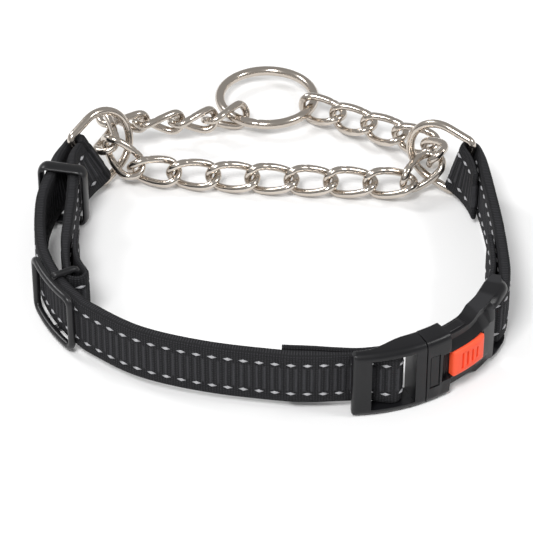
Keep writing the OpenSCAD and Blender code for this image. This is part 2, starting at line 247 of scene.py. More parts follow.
def threadMaterial(name, colour, rough):
    # twisted thread: fine slanted strands over the float, with painted shade in the grooves
    # between the strands
    material, nodes, links, shader = startMaterial(name)
    where = nodes.new("ShaderNodeTexCoord")
    strands = nodes.new("ShaderNodeTexWave")
    strands.bands_direction = "DIAGONAL"
    strands.inputs["Scale"].default_value = 900
    strands.inputs["Distortion"].default_value = 1.5
    links.new(where.outputs["Object"], strands.inputs["Vector"])
    # the colour ramp is painted shade: darker where the strands' bump dips
    strandShade = nodes.new("ShaderNodeValToRGB")
    strandShade.color_ramp.elements[0].color = (*[c * 0.72 for c in colour], 1)
    strandShade.color_ramp.elements[1].color = (*colour, 1)
    links.new(strands.outputs["Fac"], strandShade.inputs["Fac"])
    bump = nodes.new("ShaderNodeBump")
    bump.inputs["Strength"].default_value = 0.5
    bump.inputs["Distance"].default_value = 0.0001
    links.new(strands.outputs["Fac"], bump.inputs["Height"])
    links.new(strandShade.outputs["Color"], shader.inputs["Base Color"])
    links.new(bump.outputs["Normal"], shader.inputs["Normal"])
    shader.inputs["Roughness"].default_value = rough
    return material


webbingBlack = webbingMaterial()
threadSilver = threadMaterial("threadSilver", (0.46, 0.46, 0.48), 0.5)
print("materials ready")


def finishPiece(bm, name, material, body, nodes=(), rounding=None):
    # turns a drawn shape into a piece in the frame, with its material, body and nodes
    bmesh.ops.remove_doubles(bm, verts=bm.verts, dist=0.0005)
    bmesh.ops.recalc_face_normals(bm, faces=bm.faces)
    bmesh.ops.transform(bm, matrix=toFrame, verts=bm.verts)
    mesh = bpy.data.meshes.new(name)
    bm.to_mesh(mesh)
    bm.free()
    mesh.materials.append(material)
    mesh.polygons.foreach_set("use_smooth", [True] * len(mesh.polygons))
    piece = bpy.data.objects.new(name, mesh)
    bpy.context.scene.collection.objects.link(piece)
    if rounding:
        bevel = piece.modifiers.new("roundedEdges", "BEVEL")
        bevel.width = rounding["width"] * mm
        bevel.segments = rounding["segments"]
        bevel.limit_method = "ANGLE"
        bevel.angle_limit = radians(32)
        piece.modifiers.new("evenShading", "WEIGHTED_NORMAL")
    if body:
        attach(piece, body)
    if nodes:
        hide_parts(*nodes)
    return piece


def wireFrame(path, i, closed):
    # the section's place at one point: X points outwards, Z along the wire
    n = len(path)
    after = path[(i + 1) % n][0] if closed or i < n - 1 else path[i][0]
    before = path[i - 1][0] if closed or i else path[i][0]
    along = (after - before).normalized()
    side = along.cross(path[i][1]).normalized()
    out = side.cross(along)
    return Matrix.Translation(path[i][0]) @ Matrix((out, side, along)).transposed().to_4x4()


def growRing(bm, ring):
    # extrudes a ring of edges in place, and gives its new corners and edges
    grown = bmesh.ops.extrude_edge_only(bm, edges=ring)["geom"]
    tips = {g for g in grown if isinstance(g, bmesh.types.BMVert)}
    return tips, [g for g in grown if isinstance(g, bmesh.types.BMEdge) and set(g.verts) <= tips]


def sweepWire(path, size, sides, closed=True):
    # path: (centre, outward) pairs; size(i): half-widths of the section across and along
    bm = bmesh.new()
    stations = []
    for i in range(len(path)):
        a, b = size(i)
        stations.append(wireFrame(path, i, closed) @ Matrix.Diagonal((a, b, 1, 1)))
    bmesh.ops.create_circle(bm, segments=sides, radius=1, matrix=stations[0], cap_ends=not closed)
    firstRing = list(bm.edges)
    ring = firstRing
    for i in range(1, len(path)):
        tips, ring = growRing(bm, ring)
        step = stations[i] @ stations[i - 1].inverted()
        bmesh.ops.transform(bm, matrix=step, verts=list(tips))
    if closed:
        bmesh.ops.bridge_loops(bm, edges=firstRing + ring)
    else:
        bmesh.ops.contextual_create(bm, geom=ring)
    return bm


chain = {
    "wire": 2.8, "inside": 14.7, "width": 11.6, "twist": 45, "rings": 60, "sides": 14,
    "seamAt": 0.30, "seamDepth": 0.1,
    # the run between the D-rings: its ends, and the rolls of its first, middle and last link
    "frontLinks": 7, "pitch": 14.2, "frontMidZ": 5.9,
    "frontEnds": ((-47.6, 60.6, 7.6), (51.6, 52.6, 6.9)), "frontRolls": (71, 45, 44),
    # corner links: both ends and the roll of each
    "left": (((-47.8, 60.1, 7.9), (-56.8, 65.8, 15.1), 115),
             ((-58.2, 65.9, 13.4), (-57.6, 78.8, 15.9), 118)),
    "right": (((51.1, 53.4, 7.1), (60.6, 60.6, 11), 50),
              ((61.8, 60.5, 14), (59.5, 73, 6.2), 99)),
    # runs to the lead ring: both ends, and the rolls of the first and last link
    "runLinks": 4, "runPitch": 13.3,
    "leftRun": ((-59.2, 81.1, 15.3), (-9.2, 97.2, 5.9), 137, 111),
    "rightRun": ((60.1, 72.6, 9.5), (15, 102.7, 5.9), 123, 137),
}


def linkPath():
    a = (chain["inside"] + chain["wire"]) / 2
    b = (chain["width"] - chain["wire"]) / 2
    straight, quarter = a - b, pi * b / 2
    total = 4 * straight + 4 * quarter

    def flat(s):
        s %= total
        if s < quarter:
            t = s / b
            return straight + b * cos(t), b * sin(t), cos(t), sin(t)
        if s < quarter + 2 * straight:
            return straight - (s - quarter), b, 0, 1
        if s < 3 * quarter + 2 * straight:
            t = pi / 2 + (s - quarter - 2 * straight) / b
            return -straight + b * cos(t), b * sin(t), cos(t), sin(t)
        if s < 3 * quarter + 4 * straight:
            return s - 3 * quarter - 3 * straight, -b, 0, -1
        t = 1.5 * pi + (s - 3 * quarter - 4 * straight) / b
        return straight + b * cos(t), b * sin(t), cos(t), sin(t)

    path = []
    for i in range(chain["rings"]):
        x, y, nx, ny = flat(total * i / chain["rings"])
        turn = -radians(chain["twist"]) * max(-1, min(1, x / (a - 0.3 * b)))
        path.append((Vector((x, y * cos(turn), y * sin(turn))),
                     Vector((nx, ny * cos(turn), ny * sin(turn)))))
    return path


def linkSize(i):
    # the wire's two cut ends meet in a shallow seam on one side
    near = abs(i / chain["rings"] - chain["seamAt"]) * chain["rings"]
    r = chain["wire"] / 2 * (1 - (chain["seamDepth"] if near < 0.5 else 0))
    return r, r


def linkPlace(a, b, roll):
    a, b = Vector(a), Vector(b)
    v = b - a
    return (Matrix.Translation((a + b) / 2) @ Matrix.Rotation(atan2(v.y, v.x), 4, "Z")
            @ Matrix.Rotation(-atan2(v.z, v.xy.length), 4, "Y")
            @ Matrix.Rotation(radians(roll), 4, "X"))


def runPoints(a, b, n, pitch):
    # equal chords on an arc that bows towards -Y
    a, b = Vector(a), Vector(b)
    span = (b.xy - a.xy).length
    side = 1 if b.x > a.x else -1
    turn = 0.0
    if span / pitch < n:
        low, high = 1e-5, 2 * pi / n
        for _ in range(40):
            turn = (low + high) / 2
            if sin(n * turn / 2) / sin(turn / 2) > span / pitch:
                low = turn
            else:
                high = turn
    else:
        pitch = span / n
    heading = atan2(b.y - a.y, b.x - a.x) - side * turn * (n - 1) / 2
    points = [a]
    for i in range(n):
        step = Vector((pitch * cos(heading), pitch * sin(heading), (b.z - a.z) / n))
        points.append(points[-1] + step)
        heading += side * turn
    return points


def frontPoints():
    # the front run sags from both ends towards its middle
    count = chain["frontLinks"]
    points = runPoints(*chain["frontEnds"], count, chain["pitch"])
    for i, p in enumerate(points):
        u = 2 * i / count - 1
        endZ = chain["frontEnds"][0 if u < 0 else 1][2]
        p.z = chain["frontMidZ"] + (endZ - chain["frontMidZ"]) * abs(u) ** 3
    return points


def makeChain():
    base = sweepWire(linkPath(), linkSize, chain["sides"])
    baseMesh = bpy.data.meshes.new("linkBase")
    base.to_mesh(baseMesh)
    base.free()

    def link(name, body, a, b, roll):
        bm = bmesh.new()
        bm.from_mesh(baseMesh)
        bmesh.ops.transform(bm, matrix=linkPlace(a, b, roll), verts=bm.verts)
        finishPiece(bm, "chain_" + name, nickel, body, [name])

    front = frontPoints()
    firstRoll, middleRoll, lastRoll = chain["frontRolls"]
    middle = (chain["frontLinks"] + 1) // 2
    for i in range(1, chain["frontLinks"] + 1):
        end = firstRoll if i < middle else lastRoll
        roll = middleRoll + (end - middleRoll) * abs(i - middle) / (middle - 1)
        body = "front_run" if i == middle else f"front_{i}"
        link(f"front_link_{i}", body, front[i - 1], front[i], roll)
    for side in ("left", "right"):
        for i, corner in enumerate(chain[side], 1):
            link(f"corner_link_{side}_{i}", f"corner_{side}_{i}", *corner)
        a, b, firstRoll, lastRoll = chain[side + "Run"]
        count = chain["runLinks"]
        points = runPoints(a, b, count, chain["runPitch"])
        for i in range(1, count + 1):
            body = "ring_run" if (side, i) == ("right", 1) else f"ring_{side}_{i}"
            roll = firstRoll + (lastRoll - firstRoll) * (i - 1) / (count - 1)
            link(f"ring_link_{side}_{i}", body, points[i - 1], points[i], roll)
    print("chain made")


makeChain()


rings = {
    "lead": {"centre": (0.2, 108.3, 5.9), "r": 17.7, "wire": 3.6,
             "seam": 258, "notch": 0.88, "steps": 144},
    "dWire": 3.0, "dHeight": 23.6, "dCorner": 2.2, "weld": 1.05,
    "left": {"at": (-65, 58, 12.4), "heading": 49, "lean": 21, "roll": -19, "reach": 21.6},
    "right": {"at": (70.6, 53.5, 13.2), "heading": 148.5, "lean": 15, "roll": 5, "reach": 22},
}


def dPlace(d):
    return (Matrix.Translation(d["at"]) @ Matrix.Rotation(radians(d["heading"]), 4, "Z")
            @ Matrix.Rotation(-radians(d["lean"]), 4, "Y")
            @ Matrix.Rotation(radians(d["roll"]), 4, "X"))


def arcPath(cx, cz, r, start, end, steps):
    out = []
    for i in range(steps + 1):
        a = radians(start + (end - start) * i / steps)
        out.append((cx + r * cos(a), cz + r * sin(a), cos(a), sin(a)))
    return out


def straightPath(a, b, normal, steps):
    return [(a[0] + (b[0] - a[0]) * i / steps, a[1] + (b[1] - a[1]) * i / steps, *normal)
            for i in range(1, steps)]


def makeDRing(side):
    d = rings[side]
    half, c = rings["dHeight"] / 2, rings["dCorner"]
    arm = d["reach"] - half
    flat = arcPath(c, -half + c, c, 180, 270, 6)
    flat += straightPath((c, -half), (arm, -half), (0, -1), 8)
    flat += arcPath(arm, 0, half, -90, 90, 36)
    flat += straightPath((arm, half), (c, half), (0, 1), 8)
    flat += arcPath(c, half - c, c, 90, 180, 6)
    flat += straightPath((0, half - c), (0, -half + c), (-1, 0), 20)
    place = dPlace(d)
    turn = place.to_3x3()
    path = [(place @ Vector((x, 0, z)), turn @ Vector((nx, 0, nz))) for x, z, nx, nz in flat]
    weldAt = len(path) - 10

    def size(i):
        # the butt weld stands slightly proud in the middle of the straight bar
        r = rings["dWire"] / 2 * (rings["weld"] if abs(i - weldAt) < 2 else 1)
        return r, r

    bm = sweepWire(path, size, 18)
    finishPiece(bm, "dee_" + side, nickel, "dee_" + side, ["dring_" + side])


def makeLeadRing():
    lead = rings["lead"]
    steps = lead["steps"]
    path = []
    for i in range(steps):
        a = radians(lead["seam"] + 360 * i / steps)
        out = Vector((cos(a), sin(a), 0))
        path.append((Vector(lead["centre"]) + lead["r"] * out, out))

    def size(i):
        r = lead["wire"] / 2 * (lead["notch"] if i == 0 else 1)
        return r, r

    bm = sweepWire(path, size, 20)
    finishPiece(bm, "leadRing", nickel, "ring", ["lead_ring"])


makeDRing("left")
makeDRing("right")
makeLeadRing()
print("rings made")


webbing = {
    "width": 20, "double": 4.2, "single": 2.2, "spacing": 0.52,
    "across": (-10, -9.75, -9.1, -7.6, -6.9, -6, -5.1, -4.4, -2.2, 0,
               2.2, 4.4, 5.1, 6, 6.9, 7.6, 9.1, 9.75, 10),
    "ribPitch": 2.55, "ribHeight": 0.36, "ribHalf": 4.6,
    "selvedge": ((0.99, 0.42), (0.97, 0.85)),  # share of the half-width, share of the thickness
    "rowAt": 6, "rowHalf": 0.3, "rowGroove": 0.2,
    "stitchPitch": 5.1, "stitchSize": (1.95, 0.9, 0.55), "stitchLift": 0.12,
    "bothFacesFrom": 2.6, "insideShowsFrom": -55,  # a thickness, and a place along X
}
buckleCentre = (25, -9)
sideCentre = (-10.7, 10)
sideR = 67.4
sliderAngle = 209
sliderWire = 2.6
sliderInR = sideR - 6.6
loopThickness = 3.4
barPlay = 0.4
barR = 1.5
barHalf = 11
# radius and angle on the buckle's curve
plugBarAt = (54.5, 17)
endBarAt = (55, 67.5)


def buckleAt(r, angle):
    return polar(buckleCentre, r, angle - 90)


def station(x, y, t, lean=0.0, z=midZ):
    return (x, y, z, t, lean)


def barLoop(centre, r, start, end, t):
    points = [polar(centre, r, start + (end - start) * i / 6) for i in range(7)]
    return [station(p.x, p.y, t) for p in points]


def dLoop(side, r, start, end, t):
    place = dPlace(rings[side])
    out = []
    for i in range(7):
        a = radians(start + (end - start) * i / 6)
        p = place @ Vector((r * cos(a), r * sin(a), 0))
        out.append((*p, t, 1.0))
    return out


def curveAt(a, b, c, d, t):
    return [0.5 * (2 * q + (r - p) * t + (2 * p - 5 * q + 4 * r - s) * t * t
                   + (3 * q - p - 3 * r + s) * t ** 3) for p, q, r, s in zip(a, b, c, d)]


def evenStations(route, spacing):
    # dense curve through the stations, then points at even spacing along it
    dense = []
    last = len(route) - 1
    for i in range(last):
        around = route[max(i - 1, 0)], route[i], route[i + 1], route[min(i + 2, last)]
        dense += [curveAt(*around, k / 16) for k in range(16)]
    dense.append(list(route[-1]))
    travelled = [0.0]
    for a, b in zip(dense, dense[1:]):
        travelled.append(travelled[-1] + (Vector(b[:3]) - Vector(a[:3])).length)
    count = int(travelled[-1] / spacing)
    out, k = [], 0
    for i in range(count + 1):
        want = travelled[-1] * i / count
        while k < len(dense) - 2 and travelled[k + 1] < want:
            k += 1
        share = (want - travelled[k]) / max(travelled[k + 1] - travelled[k], 1e-9)
        out.append((want, [p + (q - p) * share for p, q in zip(dense[k], dense[k + 1])]))
    return out


def strapFrames(route, lean):
    line = evenStations(route, webbing["spacing"])
    frames = []
    for i, (travelled, s) in enumerate(line):
        after = Vector(line[min(i + 1, len(line) - 1)][1][:3])
        before = Vector(line[max(i - 1, 0)][1][:3])
        along = (after - before).normalized()
        high = ((1 - s[4]) * Vector((0, 0, 1)) + s[4] * lean).normalized()
        out = along.cross(high).normalized()
        frames.append((travelled, Vector(s[:3]), along, high, out, s[3]))
    return frames


def halfThickness(v, travelled, t):
    # thin at the selvedges, ribbed in the middle, grooved along the stitch rows
    half = t / 2 - webbing["ribHeight"]
    edge = abs(v) / (webbing["width"] / 2)
    for limit, share in webbing["selvedge"]:
        if edge > limit:
            return half * share
    wave = 0.5 + 0.5 * cos(2 * pi * travelled / webbing["ribPitch"])
    if abs(v) < webbing["ribHalf"]:
        return half + webbing["ribHeight"] * wave
    if abs(abs(v) - webbing["rowAt"]) < webbing["rowHalf"]:
        return half + webbing["ribHeight"] * 0.5 - webbing["rowGroove"]
    fine = 0.5 + 0.5 * cos(4 * pi * travelled / webbing["ribPitch"])
    return half + webbing["ribHeight"] * (0.35 + 0.3 * fine)


def strapPoint(frames, i, k):
    across = webbing["across"]
    n = len(across)
    v = across[k] if k < n else across[2 * n - 1 - k]
    side = 1 if k < n else -1
    travelled, centre, along, high, out, t = frames[i]
    return centre + high * v + out * side * halfThickness(v, travelled, t)


def makeStrap(name, route, lean, body, nodes):
    frames = strapFrames(route, lean)
    count = 2 * len(webbing["across"])
    bm = bmesh.new()
    around = bm.verts.layers.int.new("around")
    along = bm.verts.layers.int.new("along")
    section = bmesh.ops.create_circle(bm, segments=count, radius=1)["verts"]
    for k, v in enumerate(section):
        v[around] = k
    firstRing = list(bm.edges)
    ring = firstRing
    for i in range(1, len(frames)):
        tips, ring = growRing(bm, ring)
        for v in tips:
            v[along] = i
    for v in bm.verts:
        v.co = strapPoint(frames, v[along], v[around])
    bmesh.ops.contextual_create(bm, geom=firstRing)
    bmesh.ops.contextual_create(bm, geom=ring)
    uv = bm.loops.layers.uv.new("weave")
    across = webbing["across"]
    n = len(across)
    for face in bm.faces:
        for loop in face.loops:
            k = loop.vert[around]
            v = across[k] if k < n else across[2 * n - 1 - k]
            loop[uv].uv = (frames[loop.vert[along]][0] / 10, v / 10)
    strap = finishPiece(bm, name, webbingBlack, body, nodes)
    return strap, frames


def makeStitches(name, frames, showing, body):
    # two rows of flat floats on every face that shows
    bm = bmesh.new()
    length, width, height = webbing["stitchSize"]
    step = int(round(webbing["stitchPitch"] / webbing["spacing"]))
    for i in range(step, len(frames) - step, step):
        travelled, centre, along, high, out, t = frames[i]
        for side in showing(centre, t):
            for v in (-webbing["rowAt"], webbing["rowAt"]):
                lift = halfThickness(v, travelled, t) + webbing["stitchLift"]
                at = centre + high * v + out * side * lift
                turn = Matrix((along, high, out)).transposed().to_4x4()
                scale = Matrix.Diagonal((length, width, side * height, 1))
                bmesh.ops.create_cone(bm, cap_ends=True, segments=4, radius1=1, radius2=0.5,
                                      depth=1, matrix=Matrix.Translation(at) @ turn @ scale)
    return finishPiece(bm, name, threadSilver, body)


plugBar = buckleAt(*plugBarAt)
endBar = buckleAt(*endBarAt)
sliderBar = polar(sideCentre, sliderInR, sliderAngle)
foldR = barR + 0.2 + webbing["single"] / 2
one, two = webbing["single"], webbing["double"]

frontRoute = (
    [station(5, -58.5, one), station(15, -59.1, one), station(22, -59.8, one),
     station(30.4, -60.2, one)]
    + barLoop(plugBar, foldR, 125, -105, one)
    + [station(36.6, -63.3, one), station(33.5, -62.1, one), station(30, -62.5, one),
       station(22, -62.7, 3), station(15, -62.6, two), station(5, -62, two),
       station(-20, -57.4, two), station(-42, -49.6, two)]
    + [station(*polar(sideCentre, sideR, a).xy, two) for a in range(225, 189, -7)]
    + [station(-78.3, 12, two), station(-78.2, 25, two), station(-75.6, 38, two, 0.1),
       station(-71.8, 49.5, 3.8, 0.6, 12.4)]
    + dLoop("left", rings["dWire"] / 2 + barPlay + loopThickness / 2, 108, -68, loopThickness)
)
loopEnd = frontRoute[-1]
returnRoute = (
    [(loopEnd[0] - 0.35, loopEnd[1] - 0.75, *loopEnd[2:])]
    + [station(-66, 50, 3.8, 0.6), station(-67.7, 44, two, 0.3), station(-68.2, 37, two),
       station(-68, 25, two), station(-68.3, 12, two), station(-68.6, 0, 4),
       station(-68.2, -9, 3)]
    + barLoop(sliderBar, sliderWire / 2 + 0.7 + one / 2, 209, 389, one)
    + [station(-63.9, -12, one), station(-65.2, -5, one), station(-65.3, 2, one)]
)
rightRoute = (
    [station(76.6, 1, one), station(76.9, -8, one), station(76.6, -16, one),
     station(74.9, -24.5, one)]
    + barLoop(endBar, foldR, 157.5, 337.5, one)
    + [station(79.9, -26.5, 3), station(80.4, -18, two), station(80.4, -8, two),
       station(79.7, 9, two), station(78.2, 27, two), station(76.9, 38, two, 0.1),
       station(75.4, 47, 3.2, 0.5)]
    + dLoop("right", rings["dWire"] / 2 + barPlay + one / 2, -130, 50, one)
    + [station(70.9, 47.5, one, 0.5), station(72.8, 41, one, 0.2), station(73.6, 36, one)]
)


# the faces that show their stitches: -1 outside, 1 inside
def outerRunFaces(at, t):
    doubled = t > webbing["bothFacesFrom"]
    return (-1, 1) if doubled and at.x > webbing["insideShowsFrom"] else (-1,)


def returnRunFaces(at, t):
    return (-1,) if t > webbing["bothFacesFrom"] else (1,)


def rightRunFaces(at, t):
    return (-1, 1) if t > webbing["bothFacesFrom"] else (1,)


def makeWebbing():
    leanLeft = dPlace(rings["left"]).to_3x3() @ Vector((0, 0, 1))
    leanRight = dPlace(rings["right"]).to_3x3() @ Vector((0, 0, 1))
    strap, frames = makeStrap("strapOuterRun", frontRoute, leanLeft, None, ["strap_front"])
    stitches = makeStitches("stitchesOuterRun", frames, outerRunFaces, None)
    for piece in (strap, stitches):
        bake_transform(piece)
    strap, frames = makeStrap("strapReturnRun", returnRoute, leanLeft, None, ["strap_return"])
    stitches = makeStitches("stitchesReturnRun", frames, returnRunFaces, None)
    for piece in (strap, stitches):
        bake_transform(piece)
    strap, frames = makeStrap("strapRight", rightRoute, leanRight, "collar", ["strap_right"])
    makeStitches("stitchesRight", frames, rightRunFaces, "collar")
    print("webbing made")


makeWebbing()


# half-heights and radii in mm, angles in degrees along the buckle's curve
buckle = {"half": 12.9, "r": 59.5, "rail": 10.25, "nearEdge": (11.1, 11.8, 12.4, 12.75)}


def nowhere(angle, z):
    return False


def asDrawn(angle, z):
    return z


def settleOrder(bm):
    # numbers edges and faces by their corners, because some operators leave them in no fixed order
    bm.verts.index_update()
    count = len(bm.verts)

    def number(part):
        corners = sorted(v.index for v in part.verts)
        return sum(corner * count ** i for i, corner in enumerate(corners))

    bm.edges.sort(key=number)
    bm.faces.sort(key=number, reverse=True)


def curvedPlate(columns, rows, opened, zAt, inner, outer):
    # a grid of cells laid on the buckle's curve, some left open, with its own thickness everywhere
    nx, ny = len(columns) - 1, len(rows) - 1
    bm = bmesh.new()
    bmesh.ops.create_grid(bm, x_segments=nx, y_segments=ny, size=1)
    column = bm.verts.layers.int.new("column")
    row = bm.verts.layers.int.new("row")
    for v in bm.verts:
        v[column] = round((v.co.x + 1) / 2 * nx)
        v[row] = round((v.co.y + 1) / 2 * ny)
    holes = []
    for f in bm.faces:
        angle = sum(columns[v[column]] for v in f.verts) / 4
        z = sum(rows[v[row]] for v in f.verts) / 4
        if opened(angle, z):
            holes.append(f)
    bmesh.ops.delete(bm, geom=holes, context="FACES")
    bmesh.ops.solidify(bm, geom=list(bm.faces), thickness=1)
    settleOrder(bm)
    for v in bm.verts:
        angle, z = columns[v[column]], zAt(columns[v[column]], rows[v[row]])
        r = outer(angle, z) if abs(v.co.z) < 0.5 else inner(angle, z)
        p = buckleAt(r, angle)
        v.co = (p.x, p.y, midZ + z)
    bmesh.ops.recalc_face_normals(bm, faces=bm.faces)
    return bm


def spread(*stops, step=2.2):
    # angles from stop to stop, no further apart than the step
    out = [stops[0]]
    for a, b in zip(stops, stops[1:]):
        n = max(1, round((b - a) / step))
        out += [a + (b - a) * (i + 1) / n for i in range(n)]
    return out


def outerFaces(bm, angles, zs, r):
    # faces on the outer side whose middle lies in the given patch
    out = []
    for f in bm.faces:
        c = f.calc_center_median()
        across = c.xy - Vector(buckleCentre)
        angle = (atan2(across.y, across.x) * 180 / pi) + 90
        facing = f.normal.xy.dot(across.normalized()) > 0.7
        inPatch = angles[0] < angle < angles[1] and zs[0] < c.z - midZ < zs[1]
        if facing and across.length > r and inPatch:
            out.append(f)
    return out


def sink(bm, angles, half, depth, rim, r=57):
    # lowers a patch of the outer side inside a rim; a negative depth raises it
    faces = outerFaces(bm, angles, (-half, half), r)
    bmesh.ops.inset_region(bm, faces=faces, thickness=rim, depth=-depth, use_even_offset=True)


def cutAway(piece, cutterMesh):
    # the piece's mesh with the cutter taken out of it
    cutter = bpy.data.objects.new("cutter", cutterMesh)
    bpy.context.scene.collection.objects.link(cutter)
    cut = piece.modifiers.new("cut", "BOOLEAN")
    cut.operation = "DIFFERENCE"
    cut.solver = "EXACT"
    cut.object = cutter
    bpy.context.view_layer.update()
    graph = bpy.context.evaluated_depsgraph_get()
    mesh = bpy.data.meshes.new_from_object(piece.evaluated_get(graph))
    piece.modifiers.remove(cut)
    bpy.data.objects.remove(cutter)
    return mesh


def blockMesh(angles, r, z):
    bm = curvedPlate(spread(*angles), z, nowhere, asDrawn, lambda a, h: r[0], lambda a, h: r[1])
    mesh = bpy.data.meshes.new("block")
    bm.to_mesh(mesh)
    bm.free()
    return mesh


def carved(bm, blocks):
    # takes blocks on the buckle's curve out of a piece
    mesh = bpy.data.meshes.new("carving")
    bm.to_mesh(mesh)
    bm.free()
    for angles, r, z in blocks:
        piece = bpy.data.objects.new("carving", mesh)
        bpy.context.scene.collection.objects.link(piece)
        mesh = cutAway(piece, blockMesh(angles, r, z))
        bpy.data.objects.remove(piece)
    out = bmesh.new()
    out.from_mesh(mesh)
    return out


def eased(distance, size):
    # how far a rounded edge falls away at some distance from the border
    near = size - max(0, min(distance, size))
    return size - (size ** 2 - near ** 2) ** 0.5


def edgeRows(inner):
    # rows across a plate, closer together where its long edges are rounded
    outer = (buckle["rail"], *buckle["nearEdge"], buckle["half"])
    return [-z for z in reversed(outer)] + list(inner) + list(outer)


def addBar(bm, r, angle):
    p = buckleAt(r, angle)
    bmesh.ops.create_cone(bm, cap_ends=True, segments=28, radius1=barR, radius2=barR,
                          depth=2 * barHalf, matrix=Matrix.Translation((p.x, p.y, midZ)))


plug = {
    "stops": (2.7, 2.9, 3.3, 3.9, 4.6, 6, 9, 23.7, 27.4), "slot": (9, 23.7), "edge": 2.3,
    "narrowFrom": 4.4, "narrowOver": 1.7, "narrowBy": 0.08,
    "innerR": (55.3, 51.2), "thickFrom": 6, "thickOver": 16,
    "rounding": {"width": 0.4, "segments": 3},
    "tongue": (26.6, 44), "tongueHalf": 2.6, "tongueR": (53.9, 56.1),
    "tongueRounding": {"width": 0.3, "segments": 2},
}


def makePlug():
    half, rail = buckle["half"], buckle["rail"]

    def fall(angle, z):
        return eased(min(half - abs(z), angle - plug["stops"][0]), plug["edge"])

    def zAt(angle, z):
        near = max(0, (plug["narrowFrom"] - angle) / plug["narrowOver"])
        return z * (1 - plug["narrowBy"] * near ** 2)

    def inner(angle, z):
        r = blendValue(*plug["innerR"], (angle - plug["thickFrom"]) / plug["thickOver"])
        return r + 0.45 * fall(angle, z)

    def outer(angle, z):
        return buckle["r"] - fall(angle, z)

    def opened(angle, z):
        return plug["slot"][0] < angle < plug["slot"][1] and abs(z) < rail

    bm = curvedPlate(spread(*plug["stops"], step=2.5), edgeRows(()), opened, zAt, inner, outer)
    finishPiece(bm, "plugFrame", buckleBlack, "plug", ["buckle_plug"],
                plug["rounding"])
    rest = curvedPlate(spread(*plug["tongue"]), (-plug["tongueHalf"], plug["tongueHalf"]),
                       nowhere, asDrawn, lambda a, z: plug["tongueR"][0],
                       lambda a, z: plug["tongueR"][1])
    addBar(rest, *plugBarAt)
    finishPiece(rest, "plugTongueAndBar", buckleBlack, "plug",
                rounding=plug["tongueRounding"])


arm = {
    "stops": (27.8, 36.8, 38.4, 45.2, 47), "r": (52.8, 56.5),
    "low": 8.3, "beamTop": 10.4, "padTop": 11.3, "padFrom": 36.8, "padOver": 1.6,
    "tipFrom": 45.2, "tipOver": 1.8, "tipDrop": 1.5,
    "rounding": {"width": 0.55, "segments": 3},
}


def makeArm(name, side, body, node):
    # a beam in the collar that swells into a rounded pad in the side window
    def zAt(angle, z):
        high = blendValue(arm["beamTop"], arm["padTop"], (angle - arm["padFrom"]) / arm["padOver"])
        high -= arm["tipDrop"] * max(0, (angle - arm["tipFrom"]) / arm["tipOver"]) ** 2
        return side * (arm["low"] if z < 0.5 else high)

    bm = curvedPlate(spread(*arm["stops"], step=0.9), (0, 1), nowhere, zAt,
                     lambda a, z: arm["r"][0], lambda a, z: arm["r"][1])
    finishPiece(bm, name, buckleBlack, body, [node], arm["rounding"])


socket = {
    "stops": (27.8, 28.8, 32.6, 33.4, 36.7, 37, 49, 51.9, 56, 58.7, 63.4, 70.5, 73),
    "windowFrom": 36.8, "windowTo": 46.5, "wingOver": 16.5, "slotFrom": 58.7, "spine": 6.8,
    "row": 6.6, "edge": 2.6, "innerR": 51,
    "cornerFrom": 68, "cornerOver": 5, "cornerDrop": 1.9, "tipFrom": 67, "tipOver": 6,
    "panel": {"angles": (28.8, 32.6), "half": 6.7, "depth": 0.6, "raised": 0.4, "rim": 0.42},
    "track": {"angles": (33.4, 51.9), "half": 5.6, "depth": 1.95, "rim": 0.15},
    # hollows for the plug's arms and for its tongue: angles, radii, heights
    "hollows": (((26, 36.9), (52.4, 56.9), (-11.8, 11.8)),
                ((36.5, 49.5), (53.4, 56.6), (-3.2, 3.2))),
    "ribs": {"count": 5, "first": 34.1, "pitch": 0.75, "r": 57.5, "size": (0.36, 0.5, 10.2)},
    "rounding": {"width": 0.35, "segments": 3}, "barRounding": {"width": 0.1, "segments": 2},
}


def socketTop(angle):
    # half-height of the socket: collar, spine between the windows, wings and their tips
    half, spine = buckle["half"], socket["spine"]
    if angle < socket["windowFrom"]:
        return half
    if angle < socket["windowTo"]:
        return spine
    if angle < socket["windowTo"] + socket["wingOver"]:
        return blendValue(spine, half, (angle - socket["windowTo"]) / socket["wingOver"])
    near = max(0, (angle - socket["cornerFrom"]) / socket["cornerOver"])
    return half - socket["cornerDrop"] * near ** 2


